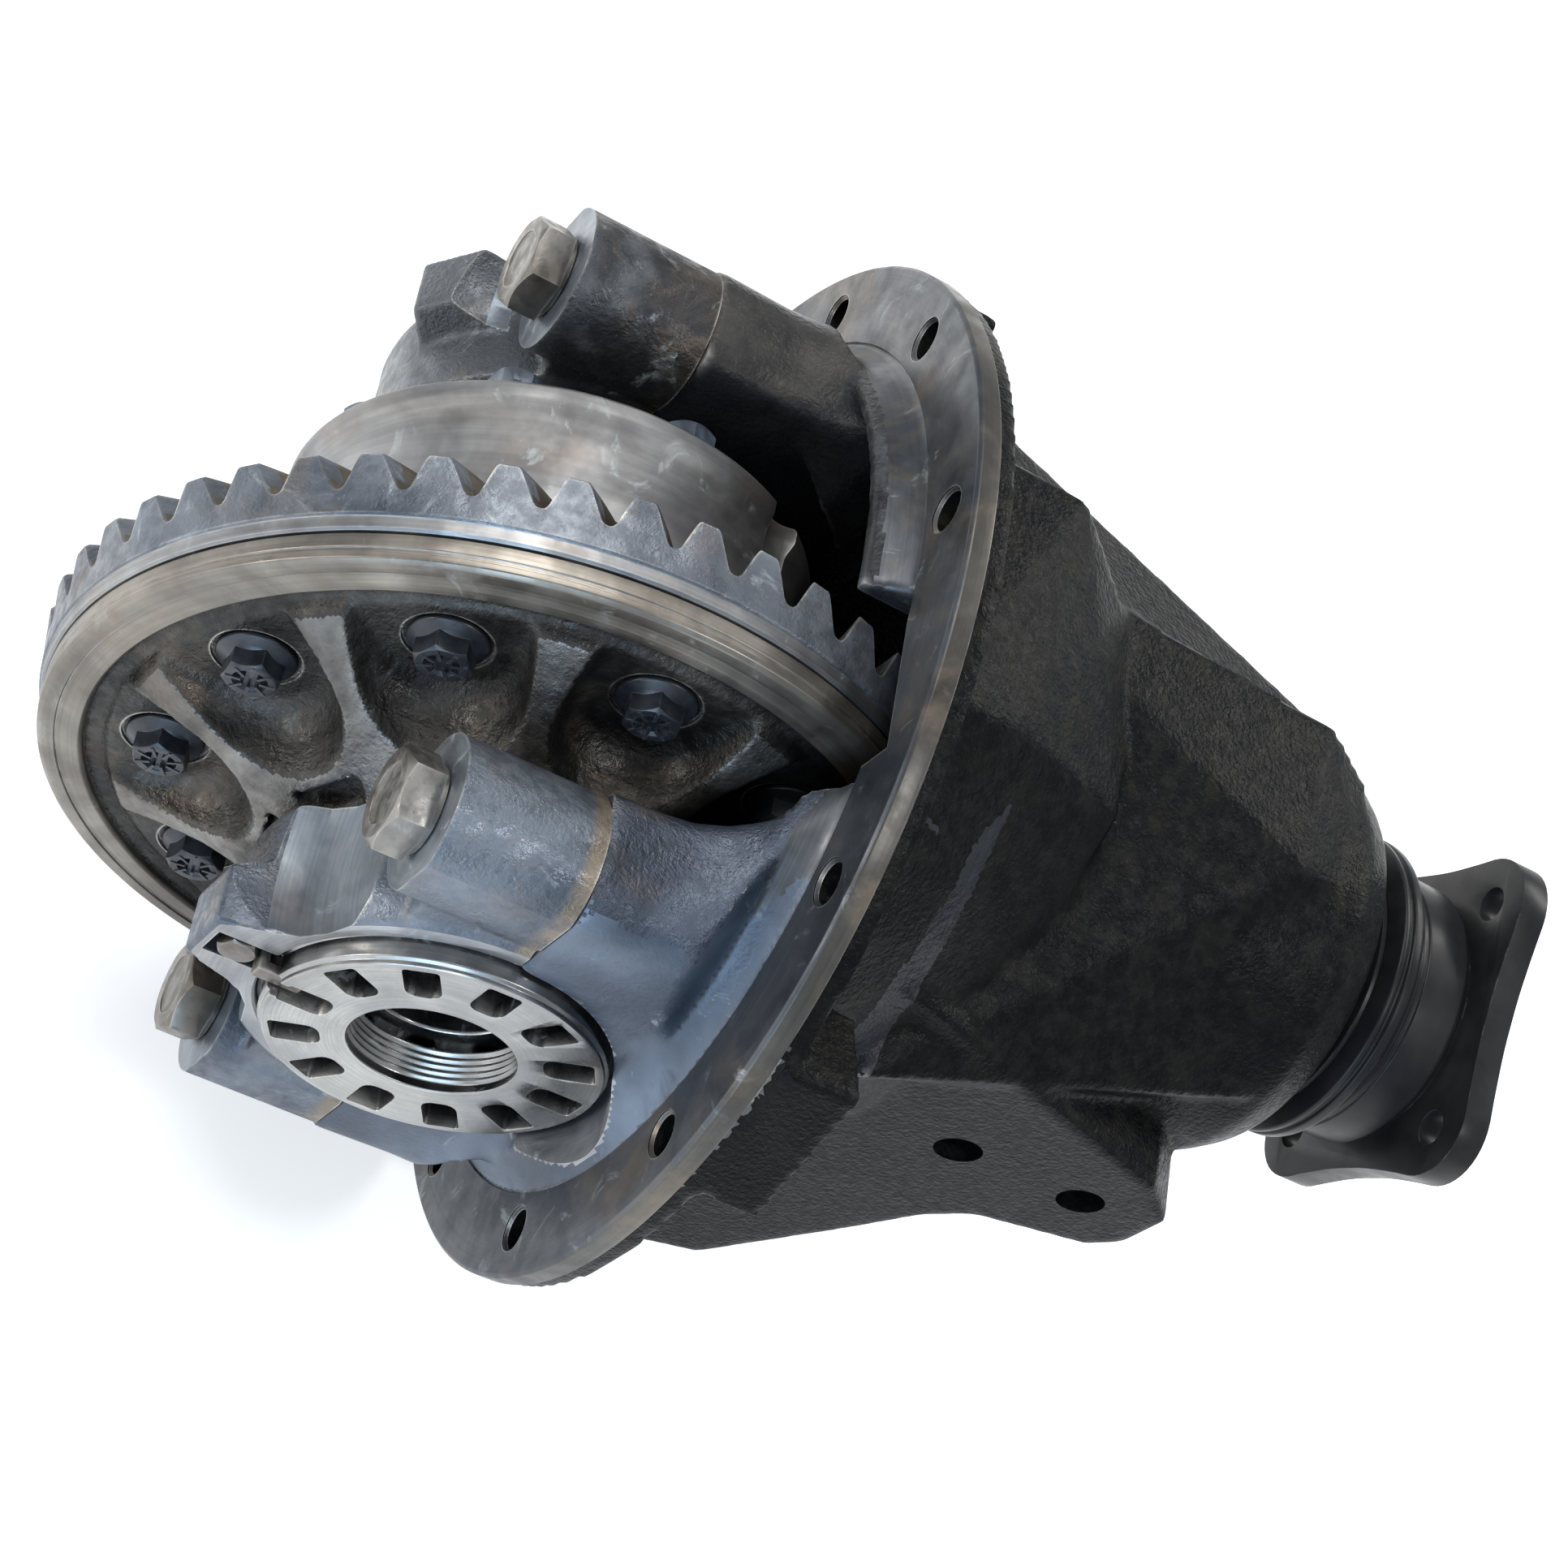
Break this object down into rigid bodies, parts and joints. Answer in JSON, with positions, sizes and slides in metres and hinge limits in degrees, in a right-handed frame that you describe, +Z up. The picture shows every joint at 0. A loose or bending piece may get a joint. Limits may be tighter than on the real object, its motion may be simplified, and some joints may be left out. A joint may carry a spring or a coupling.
{
  "type": "differential carrier",
  "caption": "Drop-out axle differential carrier: flanged housing, hypoid ring gear and pinion, differential in capped bearings, and a companion flange for the drive shaft.",
  "frame": {"origin": "centre of the mounting flange's bolt circle, on the flange's mounting face", "axes": "+X along the drive pinion towards the companion flange; +Y along the axle shafts, away from the ring gear's back; +Z up, square to both, on the side where the pinion axis is offset"},
  "size_m": [0.518, 0.374, 0.374],
  "materials": {
    "housing_black": "black paint over rough cast iron",
    "cap_grey": "bare cast iron, machined on the split and bore",
    "fastener_steel": "bare steel with light rust tint",
    "bright_steel": "turned or ground steel",
    "gear_steel": "blue-grey phosphated steel",
    "bolt_black": "black oxide",
    "case_steel": "turned cast iron, oiled",
    "flange_black": "satin black",
    "seal_rubber": "matt"
  },
  "bodies": {
    "carrier": {"adjuster_lock_far": "fastener_steel", "adjuster_lock_near": "fastener_steel", "adjuster_nut_far": "bright_steel", "adjuster_nut_near": "bright_steel", "bearing_cap_far": "cap_grey", "bearing_cap_near": "cap_grey", "cap_bolt_far_lower": "fastener_steel", "cap_bolt_far_upper": "fastener_steel", "cap_bolt_near_lower": "fastener_steel", "cap_bolt_near_upper": "fastener_steel", "carrier_housing": "housing_black", "lock_bolt_far": "fastener_steel", "lock_bolt_near": "fastener_steel", "pinion_inner_cup": "bright_steel", "pinion_oil_seal": "seal_rubber", "pinion_outer_cup": "bright_steel", "side_bearing_cup_far": "bright_steel", "side_bearing_cup_near": "bright_steel"},
    "differential": {"case_bolt_1": "bolt_black", "case_bolt_2": "bolt_black", "case_bolt_3": "bolt_black", "case_bolt_4": "bolt_black", "case_bolt_5": "bolt_black", "case_bolt_6": "bolt_black", "case_bolt_7": "bolt_black", "case_bolt_8": "bolt_black", "case_cap_half": "case_steel", "case_flange_half": "case_steel", "differential_cross": "gear_steel", "ring_gear": "gear_steel", "ring_gear_bolt_01": "bolt_black", "ring_gear_bolt_02": "bolt_black", "ring_gear_bolt_03": "bolt_black", "ring_gear_bolt_04": "bolt_black", "ring_gear_bolt_05": "bolt_black", "ring_gear_bolt_06": "bolt_black", "ring_gear_bolt_07": "bolt_black", "ring_gear_bolt_08": "bolt_black", "ring_gear_bolt_09": "bolt_black", "ring_gear_bolt_10": "bolt_black", "side_bearing_cone_far": "bright_steel", "side_bearing_cone_near": "bright_steel", "side_gear_washer_far": "bright_steel", "side_gear_washer_near": "bright_steel"},
    "pinion": {"companion_flange": "flange_black", "drive_pinion": "gear_steel", "dust_ring": "flange_black", "flange_nut": "fastener_steel", "flange_nut_washer": "fastener_steel", "pinion_inner_cone": "bright_steel", "pinion_outer_cone": "bright_steel", "pinion_spacer": "bright_steel"},
    "side_gear_near": {"side_gear_near": "gear_steel"},
    "side_gear_far": {"side_gear_far": "gear_steel"},
    "spider_1": {"spider_pinion_1": "gear_steel"},
    "spider_2": {"spider_pinion_2": "gear_steel"},
    "spider_3": {"spider_pinion_3": "gear_steel"},
    "spider_4": {"spider_pinion_4": "gear_steel"}
  },
  "joints": [
    {"name": "differential_spin", "type": "hinge", "parent": "carrier", "child": "differential", "pos_m": [-0.061, 0, 0], "axis": [0, 1, 0], "continuous": true},
    {"name": "pinion_spin", "type": "hinge", "parent": "carrier", "child": "pinion", "pos_m": [0, 0, 0.039], "axis": [1, 0, 0], "continuous": true},
    {"name": "side_gear_near_spin", "type": "hinge", "parent": "differential", "child": "side_gear_near", "pos_m": [-0.061, 0.015, 0], "axis": [0, 1, 0], "continuous": true},
    {"name": "side_gear_far_spin", "type": "hinge", "parent": "differential", "child": "side_gear_far", "pos_m": [-0.061, 0.015, 0], "axis": [0, 1, 0], "continuous": true},
    {"name": "spider_1_spin", "type": "hinge", "parent": "differential", "child": "spider_1", "pos_m": [-0.061, 0.015, 0], "axis": [0.9681, 0, 0.2504], "continuous": true},
    {"name": "spider_2_spin", "type": "hinge", "parent": "differential", "child": "spider_2", "pos_m": [-0.061, 0.015, 0], "axis": [0.2504, 0, -0.9681], "continuous": true},
    {"name": "spider_3_spin", "type": "hinge", "parent": "differential", "child": "spider_3", "pos_m": [-0.061, 0.015, 0], "axis": [-0.9681, 0, -0.2504], "continuous": true},
    {"name": "spider_4_spin", "type": "hinge", "parent": "differential", "child": "spider_4", "pos_m": [-0.061, 0.015, 0], "axis": [-0.2504, 0, 0.9681], "continuous": true}
  ],
  "couplings": [
    {"joint": "pinion_spin", "follows": "differential_spin", "ratio": 5.75},
    {"joint": "side_gear_far_spin", "follows": "side_gear_near_spin", "ratio": -1},
    {"joint": "spider_1_spin", "follows": "side_gear_near_spin", "ratio": 1.5},
    {"joint": "spider_2_spin", "follows": "side_gear_near_spin", "ratio": 1.5},
    {"joint": "spider_3_spin", "follows": "side_gear_near_spin", "ratio": 1.5},
    {"joint": "spider_4_spin", "follows": "side_gear_near_spin", "ratio": 1.5}
  ]
}
